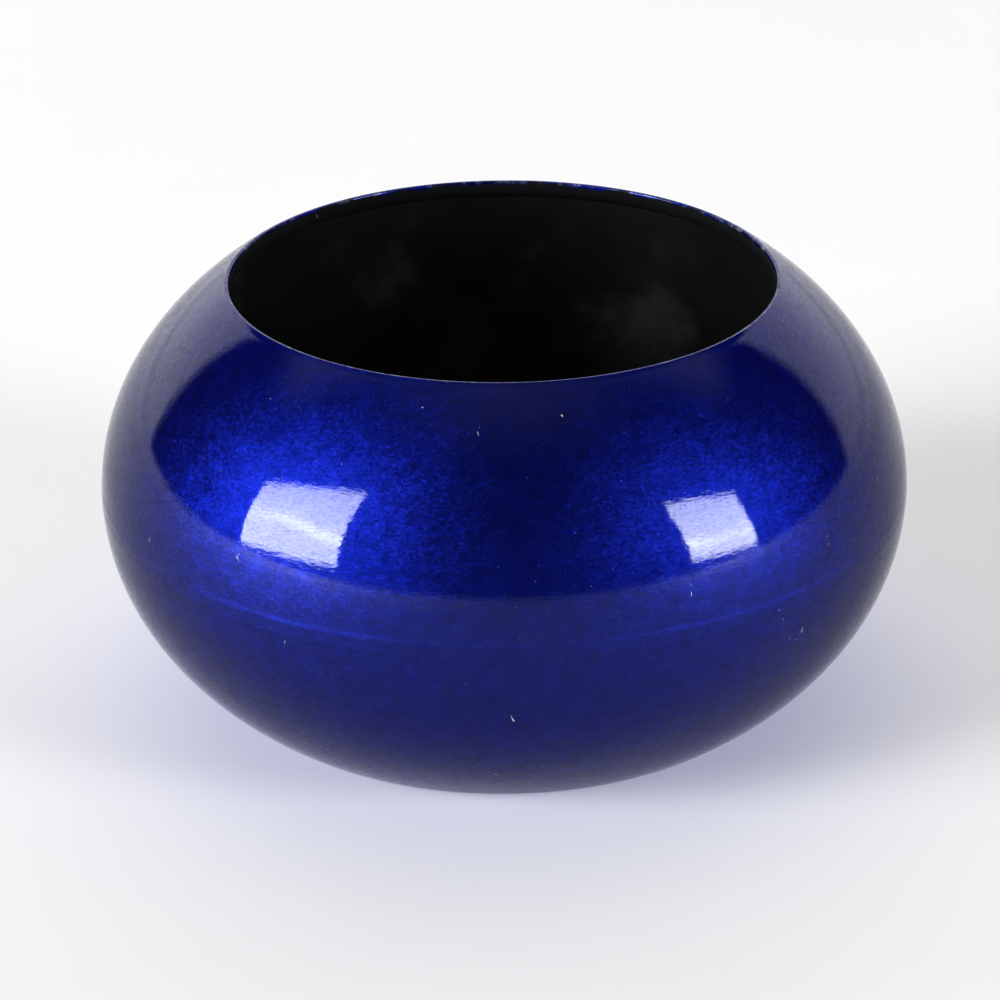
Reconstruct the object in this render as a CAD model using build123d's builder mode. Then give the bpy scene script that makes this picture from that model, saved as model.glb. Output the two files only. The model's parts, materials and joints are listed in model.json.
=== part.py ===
"""Finger-ring guitar slide: a hard, squat, bulging ring with a soft liner held flush in its straight bore.

Millimetres. The bore runs along +Z, and the slide stands on its lower rim at Z = 0.
"""

import os
from math import asin, cos, degrees, pi

from build123d import *

# The finger that the slide fits: its girth, which is also its ring size in the ISO scale
FINGER_GIRTH = 61

# The ring: an ellipse turned about the bore, cut off flat at both ends
RING_HEIGHT = 15.5
BULGE_RADIUS = 14.5  # half-axis of the ellipse, out from the bore's axis
BULGE_HALF_HEIGHT = 10.56  # half-axis of the ellipse, along the bore
BORE_RADIUS = FINGER_GIRTH / (2 * pi)
MOUTH_RADIUS = 0.06  # rounding where the bore meets each end face

# The mould's parting land: a straight band around the widest part, which stands a hair proud
MOULD_LAND_HEIGHT = 0.01
MOULD_LAND_WIDTH = 0.6

# The joint: a pocket in the bore's wall, which the liner fills, so that a lip at each end holds it in
LIP_LENGTH = 0.6
LINER_WALL = 0.35
LINER_LENGTH = RING_HEIGHT - 2 * LIP_LENGTH
LINER_EDGE_RADIUS = 0.04  # rounding of its inner edges

MIDDLE = RING_HEIGHT / 2
RIM_ANGLE = asin(MIDDLE / BULGE_HALF_HEIGHT)  # where the end faces cut the ellipse
RIM_RADIUS = BULGE_RADIUS * cos(RIM_ANGLE)

# Half of the ring's section, turned about the bore's axis
with BuildPart() as slide_ring:
    with BuildSketch(Plane.XZ) as ring_section:
        with BuildLine():
            EllipticalCenterArc(
                (0, MIDDLE),
                BULGE_RADIUS,
                BULGE_HALF_HEIGHT,
                start_angle=-degrees(RIM_ANGLE),
                arc_size=2 * degrees(RIM_ANGLE),
            )
            Polyline(
                (RIM_RADIUS, RING_HEIGHT),
                (BORE_RADIUS, RING_HEIGHT),
                (BORE_RADIUS, 0),
                (RIM_RADIUS, 0),
            )
        make_face()
        fillet(ring_section.vertices().group_by(Axis.X)[0], MOUTH_RADIUS)
        with Locations((BULGE_RADIUS + MOULD_LAND_HEIGHT, MIDDLE)):
            Rectangle(MOULD_LAND_WIDTH, MOULD_LAND_WIDTH, align=(Align.MAX, Align.CENTER))
        with Locations((BORE_RADIUS, MIDDLE)):
            Rectangle(2 * LINER_WALL, LINER_LENGTH, mode=Mode.SUBTRACT)
    revolve(axis=Axis.Z)
slide_ring.part.label = "slide_ring"

with BuildPart() as finger_liner:
    with BuildSketch(Plane.XZ) as liner_section:
        with Locations((BORE_RADIUS, MIDDLE)):
            Rectangle(LINER_WALL, LINER_LENGTH, align=(Align.MIN, Align.CENTER))
        fillet(liner_section.vertices().group_by(Axis.X)[0], LINER_EDGE_RADIUS)
    revolve(axis=Axis.Z)
finger_liner.part.label = "finger_liner"

os.makedirs("parts", exist_ok=True)
export_step(slide_ring.part, "parts/slide_ring.step")
export_step(finger_liner.part, "parts/finger_liner.step")
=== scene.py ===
import json
import math

import bpy
from mathutils import Matrix, Vector, noise


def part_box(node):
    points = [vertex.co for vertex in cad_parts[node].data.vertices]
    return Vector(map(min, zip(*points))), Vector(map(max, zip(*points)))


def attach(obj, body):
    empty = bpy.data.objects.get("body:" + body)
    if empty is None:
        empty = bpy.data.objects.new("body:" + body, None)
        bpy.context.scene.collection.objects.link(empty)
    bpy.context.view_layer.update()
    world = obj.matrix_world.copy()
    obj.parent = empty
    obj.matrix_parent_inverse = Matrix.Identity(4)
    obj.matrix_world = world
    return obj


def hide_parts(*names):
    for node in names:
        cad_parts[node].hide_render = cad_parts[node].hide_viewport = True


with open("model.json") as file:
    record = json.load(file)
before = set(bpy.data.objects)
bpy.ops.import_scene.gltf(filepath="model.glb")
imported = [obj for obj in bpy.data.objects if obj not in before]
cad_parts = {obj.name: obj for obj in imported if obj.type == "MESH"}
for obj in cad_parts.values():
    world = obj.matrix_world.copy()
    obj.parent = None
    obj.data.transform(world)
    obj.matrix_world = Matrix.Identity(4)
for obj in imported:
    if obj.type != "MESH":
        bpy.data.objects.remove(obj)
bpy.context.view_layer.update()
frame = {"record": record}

MM = 0.001  # lengths below are in millimetres times MM, which is metres

# ---------------------------------------------------------------- sizes, from the frame
_, ring_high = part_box("slide_ring")
liner_low, liner_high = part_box("finger_liner")
mount = {m["name"]: m for m in frame["record"]["mounts"]}

HEIGHT = ring_high.z
MIDDLE = HEIGHT / 2
MOULD_LAND_HEIGHT = 0.01 * MM
MOULD_LAND_WIDTH = 0.6 * MM
BULGE_RADIUS = ring_high.x - MOULD_LAND_HEIGHT
BULGE_HALF_HEIGHT = 10.56 * MM
BORE_RADIUS = mount["finger_bore"]["dims"]["r_mm"] * MM
POCKET_RADIUS = liner_high.x
LIP_LENGTH = liner_low.z
MOUTH_RADIUS = 0.06 * MM
CREST_RADIUS = 0.03 * MM
LINER_EDGE_RADIUS = 0.04 * MM
LAND_EDGE_WIDTH = 0.08 * MM
LAND_DRIFT = 0.03 * MM
RIM_ANGLE = math.asin(MIDDLE / BULGE_HALF_HEIGHT)
RIM_RADIUS = BULGE_RADIUS * math.cos(RIM_ANGLE)

SEGMENTS = 360  # round the ring
BULGE_STEPS = 48  # from the middle plane to a rim
LAND_STEP = 0.04 * MM  # finer steps near the middle plane, which carry the parting land
LAND_STEPS = 14


# ---------------------------------------------------------------- meshes
def arc(centre, radius, start, end, steps):
    """Points of a circular arc in the (radius, height) half-plane, angles in degrees."""
    angles = [math.radians(start + (end - start) * i / steps) for i in range(steps + 1)]
    return [(centre[0] + radius * math.cos(a), centre[1] + radius * math.sin(a)) for a in angles]


def mirrored(points):
    """The same points on the other side of the middle plane, in reverse order."""
    return [(r, HEIGHT - z) for r, z in reversed(points)]


def lathe(name, section, shift=None):
    """Turns a closed section of (radius, height) points about the Z axis into one closed mesh.
    shift(radius, height, angle) returns the point's own radius and height, to make it a little uneven."""
    points = []
    for i in range(SEGMENTS):
        angle = 2 * math.pi * i / SEGMENTS
        for r, z in section:
            if shift:
                r, z = shift(r, z, angle)
            points.append((r * math.cos(angle), r * math.sin(angle), z))
    n = len(section)
    faces = []
    for i in range(SEGMENTS):
        this, after = i * n, (i + 1) % SEGMENTS * n
        for j in range(n):
            k = (j + 1) % n
            faces.append((this + j, after + j, after + k, this + k))
    mesh = bpy.data.meshes.new(name)
    mesh.from_pydata(points, [], faces)
    mesh.shade_smooth()
    made = bpy.data.objects.new(name, mesh)
    bpy.context.scene.collection.objects.link(made)
    return made


def ring_section():
    """Up the bulge from the lower crest, over the upper rim, and down the bore with its pocket."""
    coarse = [RIM_ANGLE * (i / BULGE_STEPS) for i in range(-BULGE_STEPS, BULGE_STEPS + 1)]
    fine = [i * LAND_STEP / BULGE_HALF_HEIGHT for i in range(-LAND_STEPS, LAND_STEPS + 1)]
    limit = fine[-1] * 1.2
    angles = sorted([a for a in coarse if abs(a) > limit] + fine)
    bulge = [(BULGE_RADIUS * math.cos(a), MIDDLE + BULGE_HALF_HEIGHT * math.sin(a)) for a in angles]
    crest = arc((RIM_RADIUS - CREST_RADIUS, HEIGHT - CREST_RADIUS), CREST_RADIUS, 34, 90, 5)
    mouth = arc((BORE_RADIUS + MOUTH_RADIUS, HEIGHT - MOUTH_RADIUS), MOUTH_RADIUS, 90, 180, 6)
    lip = [(BORE_RADIUS, HEIGHT - 0.2 * MM), (BORE_RADIUS, HEIGHT - LIP_LENGTH)]
    pocket = [(POCKET_RADIUS, HEIGHT - LIP_LENGTH), (POCKET_RADIUS, HEIGHT - 3 * MM)]
    upper_inside = crest + mouth + lip + pocket
    return bulge[1:-1] + upper_inside + mirrored(upper_inside)


def liner_section():
    """Up the back of the sleeve, over its upper edge, and down its inside."""
    top = HEIGHT - LIP_LENGTH
    edge = arc((BORE_RADIUS + LINER_EDGE_RADIUS, top - LINER_EDGE_RADIUS), LINER_EDGE_RADIUS, 90, 180, 5)
    wall = [(BORE_RADIUS, top - i * MM) for i in (1, 2.5, 4, 5.5)]
    upper = [(POCKET_RADIUS, top)] + edge + wall
    return upper + mirrored(upper)


def around(angle, scale, seed):
    """Smooth noise from -1 to 1 that closes on itself round the ring."""
    return noise.noise(Vector((math.cos(angle) * scale, math.sin(angle) * scale, seed)))


def uneven_ring(r, z, angle):
    """Adds the mould's parting land round the widest part: a straight band, rounded at its edges, that comes
    and goes a little round the ring."""
    drift = LAND_DRIFT * around(angle, 5, 7.0)
    inside = (MOULD_LAND_WIDTH / 2 - abs(z - MIDDLE + drift)) / LAND_EDGE_WIDTH
    if r > BULGE_RADIUS * 0.9 and inside > -3:
        share = 0.5 + 0.5 * math.tanh(inside)
        height = MOULD_LAND_HEIGHT * min(1.0, 0.6 + 0.8 * around(angle, 9, 3.0))
        r += share * (BULGE_RADIUS + height - r)
    return r, z


# ---------------------------------------------------------------- materials
def node(tree, kind, inputs=None, **settings):
    """Adds a shader node. A value in inputs is linked if it is a socket, and set if it isn't."""
    made = tree.nodes.new("ShaderNode" + kind)
    for name, value in settings.items():
        setattr(made, name, value)
    for name, value in (inputs or {}).items():
        if isinstance(value, bpy.types.NodeSocket):
            tree.links.new(value, made.inputs[name])
        else:
            made.inputs[name].default_value = value
    return made


def calculate(tree, operation, a, b=0.0):
    return node(tree, "Math", {0: a, 1: b}, operation=operation).outputs[0]


def product(tree, a, b):
    return calculate(tree, "MULTIPLY", a, b)


def ramp(tree, value, low, high, to_low=0.0, to_high=1.0):
    """Goes smoothly from to_low to to_high as the value goes from low to high."""
    made = node(
        tree,
        "MapRange",
        {"Value": value, "From Min": low, "From Max": high, "To Min": to_low, "To Max": to_high},
        interpolation_type="SMOOTHSTEP",
    )
    return made.outputs[0]


def new_material(name):
    material = bpy.data.materials.new(name)
    material.use_nodes = True
    tree = material.node_tree
    tree.nodes.clear()
    output = tree.nodes.new("ShaderNodeOutputMaterial")
    return material, tree, output


def millimetres(tree):
    """The object's own coordinates, in millimetres."""
    place = node(tree, "TexCoord")
    scaled = node(tree, "VectorMath", {0: place.outputs["Object"], "Scale": 1 / MM}, operation="SCALE")
    return scaled.outputs[0]


def mix_value(tree, factor, a, b):
    return node(tree, "Mix", {"Factor": factor, "A": a, "B": b}, data_type="FLOAT").outputs[0]


def mix_colour(tree, factor, a, b):
    made = node(tree, "Mix", {"Factor": factor}, data_type="RGBA")
    for index, value in ((6, a), (7, b)):
        if isinstance(value, bpy.types.NodeSocket):
            tree.links.new(value, made.inputs[index])
        else:
            made.inputs[index].default_value = value
    return made.outputs[2]


def around_zero(tree, colour, size):
    """A texture's colour as a small random vector."""
    centred = node(tree, "VectorMath", {0: colour, 1: (0.5, 0.5, 0.5)}, operation="SUBTRACT")
    return node(tree, "VectorMath", {0: centred.outputs[0], "Scale": size}, operation="SCALE").outputs[0]


def round_axis(tree, at):
    """From a place in millimetres: the unit vector straight out from the bore's axis, the distance from the
    axis, and the height above the middle plane."""
    split = node(tree, "SeparateXYZ", {0: at})
    flat = node(tree, "CombineXYZ", {0: split.outputs[0], 1: split.outputs[1]}).outputs[0]
    outward = node(tree, "VectorMath", {0: flat}, operation="NORMALIZE").outputs[0]
    radius = node(tree, "VectorMath", {0: flat}, operation="LENGTH").outputs["Value"]
    above = calculate(tree, "SUBTRACT", split.outputs[2], MIDDLE / MM)
    return outward, radius, above


def along_ring(tree, at, stretch):
    """Coordinates that run with the ring's girth, in millimetres, and across it at another scale, so that a
    texture's grain lies along the girth."""
    outward, radius, above = round_axis(tree, at)
    climb = calculate(tree, "ARCTAN2", product(tree, above, BULGE_RADIUS / BULGE_HALF_HEIGHT), radius)
    girth = node(tree, "VectorMath", {0: outward, "Scale": BULGE_RADIUS / MM}, operation="SCALE")
    wrapped = node(tree, "SeparateXYZ", {0: girth.outputs[0]})
    up = product(tree, climb, stretch * BULGE_RADIUS / MM)
    return node(tree, "CombineXYZ", {0: wrapped.outputs[0], 1: wrapped.outputs[1], 2: up}).outputs[0]


def tilted_normal(tree, *tilts):
    """The surface normal, leaning by each of the tilts."""
    total = node(tree, "NewGeometry").outputs["Normal"]
    for tilt in tilts:
        total = node(tree, "VectorMath", {0: total, 1: tilt}, operation="ADD").outputs[0]
    return node(tree, "VectorMath", {0: total}, operation="NORMALIZE").outputs[0]


# how far each kind of flake leans, and how far it leans at the edges of the parting land
DUST_TILT = (0.47, 0.47, 0.4)
FINE_TILT = 0.62
DRIFT_TILT = 0.2
SPARKLE_TILT = 0.7
UPPER_EDGE_TILT = 0.1
LOWER_EDGE_TILT = 0.04
ALL_OVER_TILT = 0.02
LAND_SHINE_WIDTH = 0.17  # in millimetres

DEEP_BLUE = (0.0062, 0.0142, 0.162, 1)
CLEAR_BLUE = (0.0080, 0.0182, 0.210, 1)
SPARKLE_BLUE = (0.08, 0.12, 0.6, 1)
# painted highlight: the brighter blue for the upper edge of the parting land
LAND_HIGHLIGHT_BLUE = (0.011, 0.026, 0.30, 1)
UNPAINTED = (0.018, 0.018, 0.018, 1)
BARE_METAL = (0.20, 0.22, 0.28, 1)
LINT = (0.42, 0.43, 0.42, 1)


def blue_lacquer():
    """Fine aluminium flake in deep blue under a glossy clear coat with slight orange peel."""
    material, tree, output = new_material("blue_lacquer_flake")
    at = millimetres(tree)
    grain = along_ring(tree, at, 1.4)
    _, radius, above = round_axis(tree, at)
    depth = calculate(tree, "SUBTRACT", MIDDLE / MM, calculate(tree, "ABSOLUTE", above))  # below the rims

    # flakes lie nearly flat: a fine grain, larger drifts of it, and a few that stand up and sparkle
    fine = node(tree, "TexNoise", {"Vector": grain, "Scale": 5.5, "Detail": 3.0, "Roughness": 0.7})
    drift = node(tree, "TexNoise", {"Vector": grain, "Scale": 1.3, "Detail": 3.0, "Roughness": 0.6})
    flakes = node(tree, "TexVoronoi", {"Vector": at, "Scale": 9.0}, feature="F1")
    lone = node(tree, "SeparateXYZ", {0: flakes.outputs["Color"]}).outputs[0]
    small = ramp(tree, flakes.outputs["Distance"], 0.3, 0.15)
    sparkling = product(tree, ramp(tree, lone, 0.965, 0.995), small)
    stood = node(
        tree, "VectorMath",
        {0: around_zero(tree, flakes.outputs["Color"], SPARKLE_TILT), "Scale": sparkling}, operation="SCALE",
    ).outputs[0]

    # under the coat, the edges of the mould's parting land lean so that they catch the light, the upper one more;
    # the upper edge also gets a painted highlight in a brighter blue
    land_edge = MOULD_LAND_WIDTH / 2 / MM
    from_upper = calculate(tree, "ABSOLUTE", calculate(tree, "SUBTRACT", above, land_edge))
    from_lower = calculate(tree, "ABSOLUTE", calculate(tree, "ADD", above, land_edge))
    upper = ramp(tree, from_upper, LAND_SHINE_WIDTH, 0)
    lower = ramp(tree, from_lower, LAND_SHINE_WIDTH, 0)
    worn = node(tree, "TexNoise", {"Vector": grain, "Scale": 0.45, "Detail": 3.0})
    upper = product(tree, upper, ramp(tree, worn.outputs[0], 0.3, 0.7, 0.25, 1.0))
    leaning_up = product(tree, upper, UPPER_EDGE_TILT)
    leaning_down = product(tree, lower, LOWER_EDGE_TILT)
    lean = calculate(tree, "SUBTRACT", leaning_up, leaning_down)
    edge_tilt = node(tree, "CombineXYZ", {2: calculate(tree, "SUBTRACT", lean, ALL_OVER_TILT)}).outputs[0]
    dust = node(tree, "TexVoronoi", {"Vector": at, "Scale": 130.0}, feature="F1")
    dusty = around_zero(tree, dust.outputs["Color"], 1.0)
    flake_normal = tilted_normal(
        tree,
        node(tree, "VectorMath", {0: dusty, 1: DUST_TILT}, operation="MULTIPLY").outputs[0],
        around_zero(tree, fine.outputs["Color"], FINE_TILT),
        around_zero(tree, drift.outputs["Color"], DRIFT_TILT),
        stood,
        edge_tilt,
    )

    cloud = node(tree, "TexNoise", {"Vector": at, "Scale": 1.6, "Detail": 4.0, "Roughness": 0.6})
    shade = ramp(tree, cloud.outputs[0], 0.3, 0.7)
    blue = mix_colour(tree, shade, DEEP_BLUE, CLEAR_BLUE)
    blue = mix_colour(tree, product(tree, sparkling, 0.5), blue, SPARKLE_BLUE)
    # painted highlight: the upper edge of the land is given a brighter blue
    blue = mix_colour(tree, product(tree, upper, 0.4), blue, LAND_HIGHLIGHT_BLUE)

    # the bore isn't painted, except where overspray reaches in patches over the lip
    rim = RIM_RADIUS / MM
    outside = ramp(tree, radius, rim - 0.02, rim)
    patches = node(tree, "TexNoise", {"Vector": at, "Scale": 0.8, "Detail": 4.0, "Roughness": 0.65})
    reach = calculate(tree, "ADD", depth, ramp(tree, patches.outputs[0], 0.35, 0.65, 0.09, -0.05))
    sprayed = ramp(tree, reach, 0.14, 0.05)
    painted = calculate(tree, "MAXIMUM", outside, sprayed)
    colour = mix_colour(tree, painted, UNPAINTED, blue)

    # bare metal shows in places where the rim's crest is rubbed
    crest = product(tree, ramp(tree, depth, 0.13, 0.04), ramp(tree, radius, rim, rim - 0.05))
    scuffs = node(tree, "TexNoise", {"Vector": grain, "Scale": 1.1, "Detail": 5.0, "Roughness": 0.7})
    bare = product(tree, crest, ramp(tree, scuffs.outputs[0], 0.5, 0.68))
    colour = mix_colour(tree, bare, colour, BARE_METAL)

    # a little dust and lint lies on the coat
    curl = node(tree, "TexNoise", {"Vector": at, "Scale": 1.2, "Detail": 1.0})
    bent = node(tree, "VectorMath", {0: at, 1: around_zero(tree, curl.outputs["Color"], 1.6)}, operation="ADD")
    drawn = node(tree, "VectorMath", {0: bent.outputs[0], 1: (1.0, 1.0, 0.1)}, operation="MULTIPLY")
    fibres = node(tree, "TexVoronoi", {"Vector": drawn.outputs[0], "Scale": 3.0}, feature="F1")
    chosen = ramp(tree, node(tree, "SeparateXYZ", {0: fibres.outputs["Color"]}).outputs[0], 0.93, 0.94)
    lint = product(tree, chosen, ramp(tree, fibres.outputs["Distance"], 0.11, 0.06))
    clean = calculate(tree, "SUBTRACT", 1.0, lint)
    colour = mix_colour(tree, lint, colour, LINT)

    # the clear coat: orange peel, and fine ripples from polishing that run along the girth
    peel = node(tree, "TexNoise", {"Vector": at, "Scale": 1.4, "Detail": 1.0, "Roughness": 0.5})
    rubbed = along_ring(tree, at, 3.0)
    rub = node(tree, "TexNoise", {"Vector": rubbed, "Scale": 3.4, "Detail": 2.0, "Roughness": 0.6})
    haze = node(tree, "TexNoise", {"Vector": rubbed, "Scale": 7.0, "Detail": 2.0, "Roughness": 0.7})
    gloss = product(tree, painted, ramp(tree, haze.outputs[0], 0.36, 0.54, 0.62, 1.0))
    ripple = node(tree, "Bump", {"Height": peel.outputs[0], "Strength": 1.0, "Distance": 0.004 * MM})
    ripple = node(
        tree, "Bump",
        {"Height": rub.outputs[0], "Strength": 1.0, "Distance": 0.0022 * MM, "Normal": ripple.outputs[0]},
    )
    own = node(tree, "SeparateXYZ", {0: dust.outputs["Color"]}).outputs[1]
    roughness = mix_value(tree, painted, 0.65, ramp(tree, own, 0.0, 1.0, 0.34, 0.52))

    paint = node(
        tree,
        "BsdfPrincipled",
        {
            "Base Color": colour,
            "Metallic": product(tree, painted, clean),
            "Roughness": roughness,
            "Normal": flake_normal,
            "Specular IOR Level": 0.25,
            "Specular Tint": (0.02, 0.03, 0.15, 1),
            "Anisotropic": 0.25,
            "Anisotropic Rotation": 0.25,
            "Tangent": node(tree, "Tangent", direction_type="RADIAL", axis="Z").outputs[0],
            "Coat Weight": product(tree, gloss, clean),
            "Coat Roughness": 0.035,
            "Coat IOR": 1.45,
            "Coat Normal": ripple.outputs[0],
        },
    )
    tree.links.new(paint.outputs[0], output.inputs["Surface"])
    return material


def black_rubber():
    """Thin matte black elastomer with a fine grain."""
    material, tree, output = new_material("black_liner_rubber")
    at = millimetres(tree)
    grain = node(tree, "TexNoise", {"Vector": at, "Scale": 9.0, "Detail": 4.0, "Roughness": 0.6})
    wear = node(tree, "TexNoise", {"Vector": at, "Scale": 0.7, "Detail": 3.0})
    colour = mix_colour(tree, wear.outputs[0], (0.008, 0.008, 0.008, 1), (0.0115, 0.0115, 0.0118, 1))
    # painted light: large lighter patches on the liner, standing in for the softboxes' light on the back wall of
    # the bore
    painted_light_patches = node(tree, "TexNoise", {"Vector": at, "Scale": 0.16, "Detail": 4.0, "Roughness": 0.6})
    colour = mix_colour(tree, ramp(tree, painted_light_patches.outputs[0], 0.5, 0.72), colour, (0.034, 0.035, 0.037, 1))
    roughness = ramp(tree, wear.outputs[0], 0.3, 0.7, 0.5, 0.62)
    bump = node(tree, "Bump", {"Height": grain.outputs[0], "Strength": 0.25, "Distance": 0.01 * MM})
    rubber = node(
        tree,
        "BsdfPrincipled",
        {"Base Color": colour, "Roughness": roughness, "Normal": bump.outputs[0], "Specular IOR Level": 0.08},
    )
    tree.links.new(rubber.outputs[0], output.inputs["Surface"])
    return material


def lit_acrylic():
    """The floor: white acrylic with a faint bloom of fine scuffs, lit a little from below, with painted light in
    that glow.
    """
    material, tree, output = new_material("white_acrylic")
    at = millimetres(tree)
    bloom = node(tree, "TexNoise", {"Vector": at, "Scale": 0.08, "Detail": 5.0})
    colour = mix_colour(tree, bloom.outputs[0], (0.502, 0.49, 0.49, 1), (0.522, 0.51, 0.51, 1))

    # painted light: the sheet's own glow is brighter towards the back and the left, standing in for the big
    # lights' spill there
    split = node(tree, "SeparateXYZ", {0: at})
    left, back = product(tree, split.outputs[0], -1.0), split.outputs[1]
    back_left = calculate(tree, "ADD", product(tree, left, 0.6), product(tree, back, 0.8))
    power = calculate(tree, "ADD", ramp(tree, back_left, -10, 25, 0.0, 0.03), FLOOR_POWER)
    power = calculate(tree, "ADD", power, ramp(tree, left, 20, 80, 0.0, 0.12))
    power = calculate(tree, "ADD", power, ramp(tree, back, 70, 320, 0.0, 0.26))

    # painted light: the sheet's glow is tinted blue close to the object, standing in for the blue light the
    # lacquer throws on it
    near = ramp(tree, node(tree, "VectorMath", {0: at}, operation="LENGTH").outputs["Value"], 21, 9)
    painted_bounce_tint = mix_colour(tree, near, (1.0, 1.0, 1.01, 1), (0.92, 0.95, 1.2, 1))
    sheet = node(
        tree, "BsdfPrincipled",
        {"Base Color": colour, "Roughness": 0.8, "Emission Color": painted_bounce_tint, "Emission Strength": power},
    )
    tree.links.new(sheet.outputs[0], output.inputs["Surface"])
    return material


def glow(name, dim, bright, strip_left, strip_right):
    """A softbox's cloth: dim at the top, brighter lower down, with the lamp's strip showing through.
    Each end of the strip has a height, as a share of the panel's, and a brightness."""
    material, tree, output = new_material(name)
    at = node(tree, "SeparateXYZ", {0: node(tree, "UVMap").outputs[0]})
    across, up = at.outputs[0], at.outputs[1]
    cloth = ramp(tree, up, 1.0, 0.3, dim, bright)
    slope = product(tree, across, strip_right[0] - strip_left[0])
    off = calculate(tree, "SUBTRACT", up, calculate(tree, "ADD", slope, strip_left[0]))
    strip = ramp(tree, calculate(tree, "ABSOLUTE", off), STRIP_HALF_WIDTH, 0.0)
    strip = product(tree, strip, ramp(tree, across, 0.0, 0.9, strip_left[1], strip_right[1]))
    power = calculate(tree, "ADD", cloth, strip)
    lamp = node(tree, "Emission", {"Color": (0.97, 1.0, 1.01, 1), "Strength": power})
    tree.links.new(lamp.outputs[0], output.inputs["Surface"])
    return material


# ---------------------------------------------------------------- pieces
ring = lathe("slide_ring_lacquered", ring_section(), uneven_ring)
ring.data.materials.append(blue_lacquer())
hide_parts("slide_ring")
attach(ring, "root")

liner = lathe("finger_liner_sleeve", liner_section())
liner.data.materials.append(black_rubber())
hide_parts("finger_liner")
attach(liner, "root")


# ---------------------------------------------------------------- stage
CENTRE = Vector((0, 0, MIDDLE))
FLOOR_POWER = 0.207
SOFTBOX_DISTANCE = 0.9
STRIP_HALF_WIDTH = 0.1  # as a share of the softbox's height

# the backdrop, in degrees: its sides at floor level are measured from straight behind, and lean inwards as
# they rise
BACKDROP_LEFT, BACKDROP_RIGHT = -56, 65.5
LEAN_LEFT, LEAN_RIGHT = 0.35, -0.45
SIDE_SOFTNESS = 3
TOP_FROM, TOP_TO = 40, 50
BACKDROP_POWER = 1.08
HIGH_POWER = 0.45
CEILING_POWER = 0.35
ROOM_POWER = 0.08
SEEN_WHITE = (0.82, 0.82, 0.82, 1)

LENS = 154.8
CAMERA_ELEVATION = 24
CAMERA_DISTANCE = 155.5 * MM
CAMERA_ROLL = -0.48


def direction(azimuth, elevation):
    """A unit vector. Azimuth 0 is towards the camera, and 90 is to its right."""
    a, e = math.radians(azimuth), math.radians(elevation)
    return Vector((math.sin(a) * math.cos(e), -math.cos(a) * math.cos(e), math.sin(e)))


def staged(name, points, faces, material):
    mesh = bpy.data.meshes.new(name)
    mesh.from_pydata(points, [], faces)
    mesh.materials.append(material)
    made = bpy.data.objects.new(name, mesh)
    bpy.context.scene.collection.objects.link(made)
    return made


def floor():
    """A round white sheet under the object, which curls up a little at its edge."""
    steps = 96
    rings = [(0.5, 0.0), (0.62, 0.006), (0.74, 0.022), (0.86, 0.046)]
    points, faces = [(0, 0, 0)], []
    for radius, height in rings:
        for i in range(steps):
            turn = 2 * math.pi * i / steps
            points.append((radius * math.cos(turn), radius * math.sin(turn), height))
    for i in range(steps):
        k = (i + 1) % steps
        faces.append((0, 1 + i, 1 + k))
        for band in range(len(rings) - 1):
            low, high = 1 + band * steps, 1 + (band + 1) * steps
            faces.append((low + i, high + i, high + k, low + k))
    staged("floor", points, faces, lit_acrylic())


def softbox(name, corners, distance, glowing):
    """A flat glowing panel whose corners, from bottom left round to top left, are seen from the object
    in the given directions."""
    ways = [direction(*c) for c in corners]
    facing = sum(ways, Vector()).normalized()
    points = [tuple(CENTRE + way * (distance / way.dot(facing))) for way in ways]
    panel = staged(name, points, [(0, 1, 2, 3)], glowing)
    layer = panel.data.uv_layers.new(name="panel")
    for loop, place in zip(layer.data, [(0, 0), (1, 0), (1, 1), (0, 1)]):
        loop.uv = place
    panel.visible_camera = False


floor()
softbox(
    "softbox_left", [(-77, 4), (-47, 8), (-48, 40), (-79, 27)], SOFTBOX_DISTANCE,
    glow("left_glow", 10.3, 13.6, (0.51, 4.2), (0.34, 7.0)),
)
softbox(
    "softbox_right", [(52, 7), (73, 4), (73, 25), (51, 33)], SOFTBOX_DISTANCE,
    glow("right_glow", 10.5, 13.6, (0.32, 8.0), (0.30, 3.0)),
)


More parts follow.
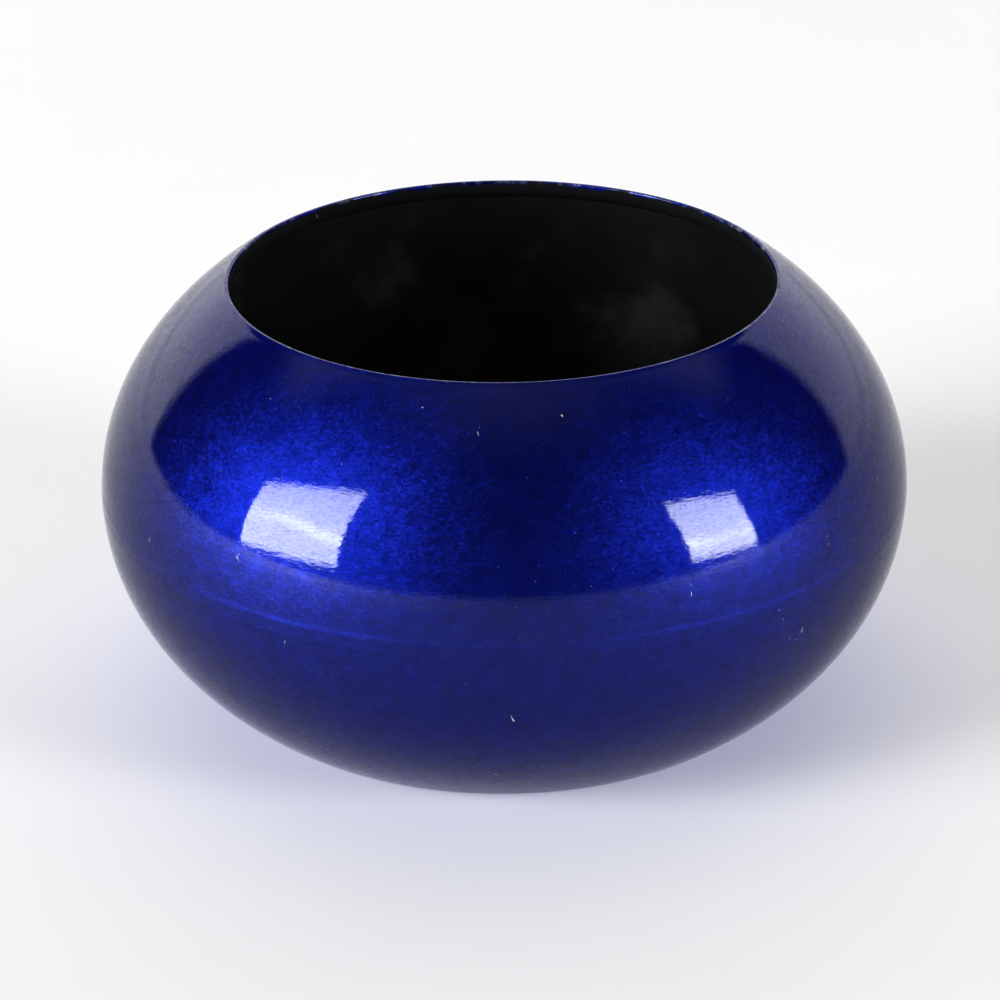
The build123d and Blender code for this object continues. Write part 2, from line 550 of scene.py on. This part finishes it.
def surroundings():
    """A dim room with a tall white backdrop behind the object and a lit ceiling above that. The camera sees
    it all as the same pale backdrop."""
    world = bpy.data.worlds.new("room")
    world.use_nodes = True
    bpy.context.scene.world = world
    tree = world.node_tree
    tree.nodes.clear()
    output = tree.nodes.new("ShaderNodeOutputWorld")
    way = node(tree, "SeparateXYZ", {0: node(tree, "TexCoord").outputs["Generated"]})
    degree = math.radians(1)
    height = calculate(tree, "DIVIDE", calculate(tree, "ARCSINE", way.outputs[2]), degree)
    aside = calculate(tree, "DIVIDE", calculate(tree, "ARCTAN2", way.outputs[0], way.outputs[1]), degree)

    # the backdrop: its sides, its foot where it curves into the floor, and its top
    left_edge = calculate(tree, "ADD", product(tree, height, LEAN_LEFT), BACKDROP_LEFT)
    right_edge = calculate(tree, "ADD", product(tree, height, LEAN_RIGHT), BACKDROP_RIGHT)
    left = ramp(tree, calculate(tree, "SUBTRACT", aside, left_edge), -SIDE_SOFTNESS, SIDE_SOFTNESS)
    right = ramp(tree, calculate(tree, "SUBTRACT", aside, right_edge), SIDE_SOFTNESS, -SIDE_SOFTNESS)
    level = ramp(tree, aside, BACKDROP_LEFT, BACKDROP_RIGHT, BACKDROP_POWER * 1.15, BACKDROP_POWER * 0.92)
    cove = ramp(tree, height, -4, 12, 0.78, 1.0)
    sheet = product(tree, product(tree, left, right), product(tree, level, cove))
    low = product(tree, sheet, ramp(tree, height, TOP_TO, TOP_FROM))

    # above it the wall behind is dimmer, and the ceiling is lit
    behind = product(tree, ramp(tree, way.outputs[1], 0.0, 0.3), ramp(tree, height, TOP_FROM, TOP_TO))
    high = product(tree, behind, HIGH_POWER)
    ceiling = ramp(tree, height, 55, 90, 0.0, CEILING_POWER)
    power = calculate(tree, "ADD", calculate(tree, "ADD", low, high), calculate(tree, "ADD", ceiling, ROOM_POWER))

    seen = node(tree, "LightPath").outputs["Is Camera Ray"]
    room = node(tree, "Background", {"Color": (1, 1, 1, 1), "Strength": power})
    pale = node(tree, "Background", {"Color": SEEN_WHITE, "Strength": 1.0})
    both = node(tree, "MixShader", {0: seen, 1: room.outputs[0], 2: pale.outputs[0]})
    tree.links.new(both.outputs[0], output.inputs["Surface"])


def camera():
    """The main view: a long lens, from above the front, rolled by about half a degree."""
    data = bpy.data.cameras.new("camera")
    data.sensor_width = 36
    data.lens = LENS
    data.shift_x = -0.0042
    data.shift_y = -0.0245
    made = bpy.data.objects.new("camera", data)
    bpy.context.scene.collection.objects.link(made)
    back = direction(0, CAMERA_ELEVATION)
    made.location = CENTRE + back * CAMERA_DISTANCE
    turn = (-back).to_track_quat("-Z", "Y").to_matrix().to_4x4()
    roll = Matrix.Rotation(math.radians(CAMERA_ROLL), 4, "Z")
    made.matrix_world = Matrix.Translation(made.location) @ turn @ roll
    data.clip_start, data.clip_end = 0.01, 10
    bpy.context.scene.camera = made


surroundings()
camera()
view = bpy.context.scene.view_settings
view.view_transform = "Standard"
view.look = "High Contrast"
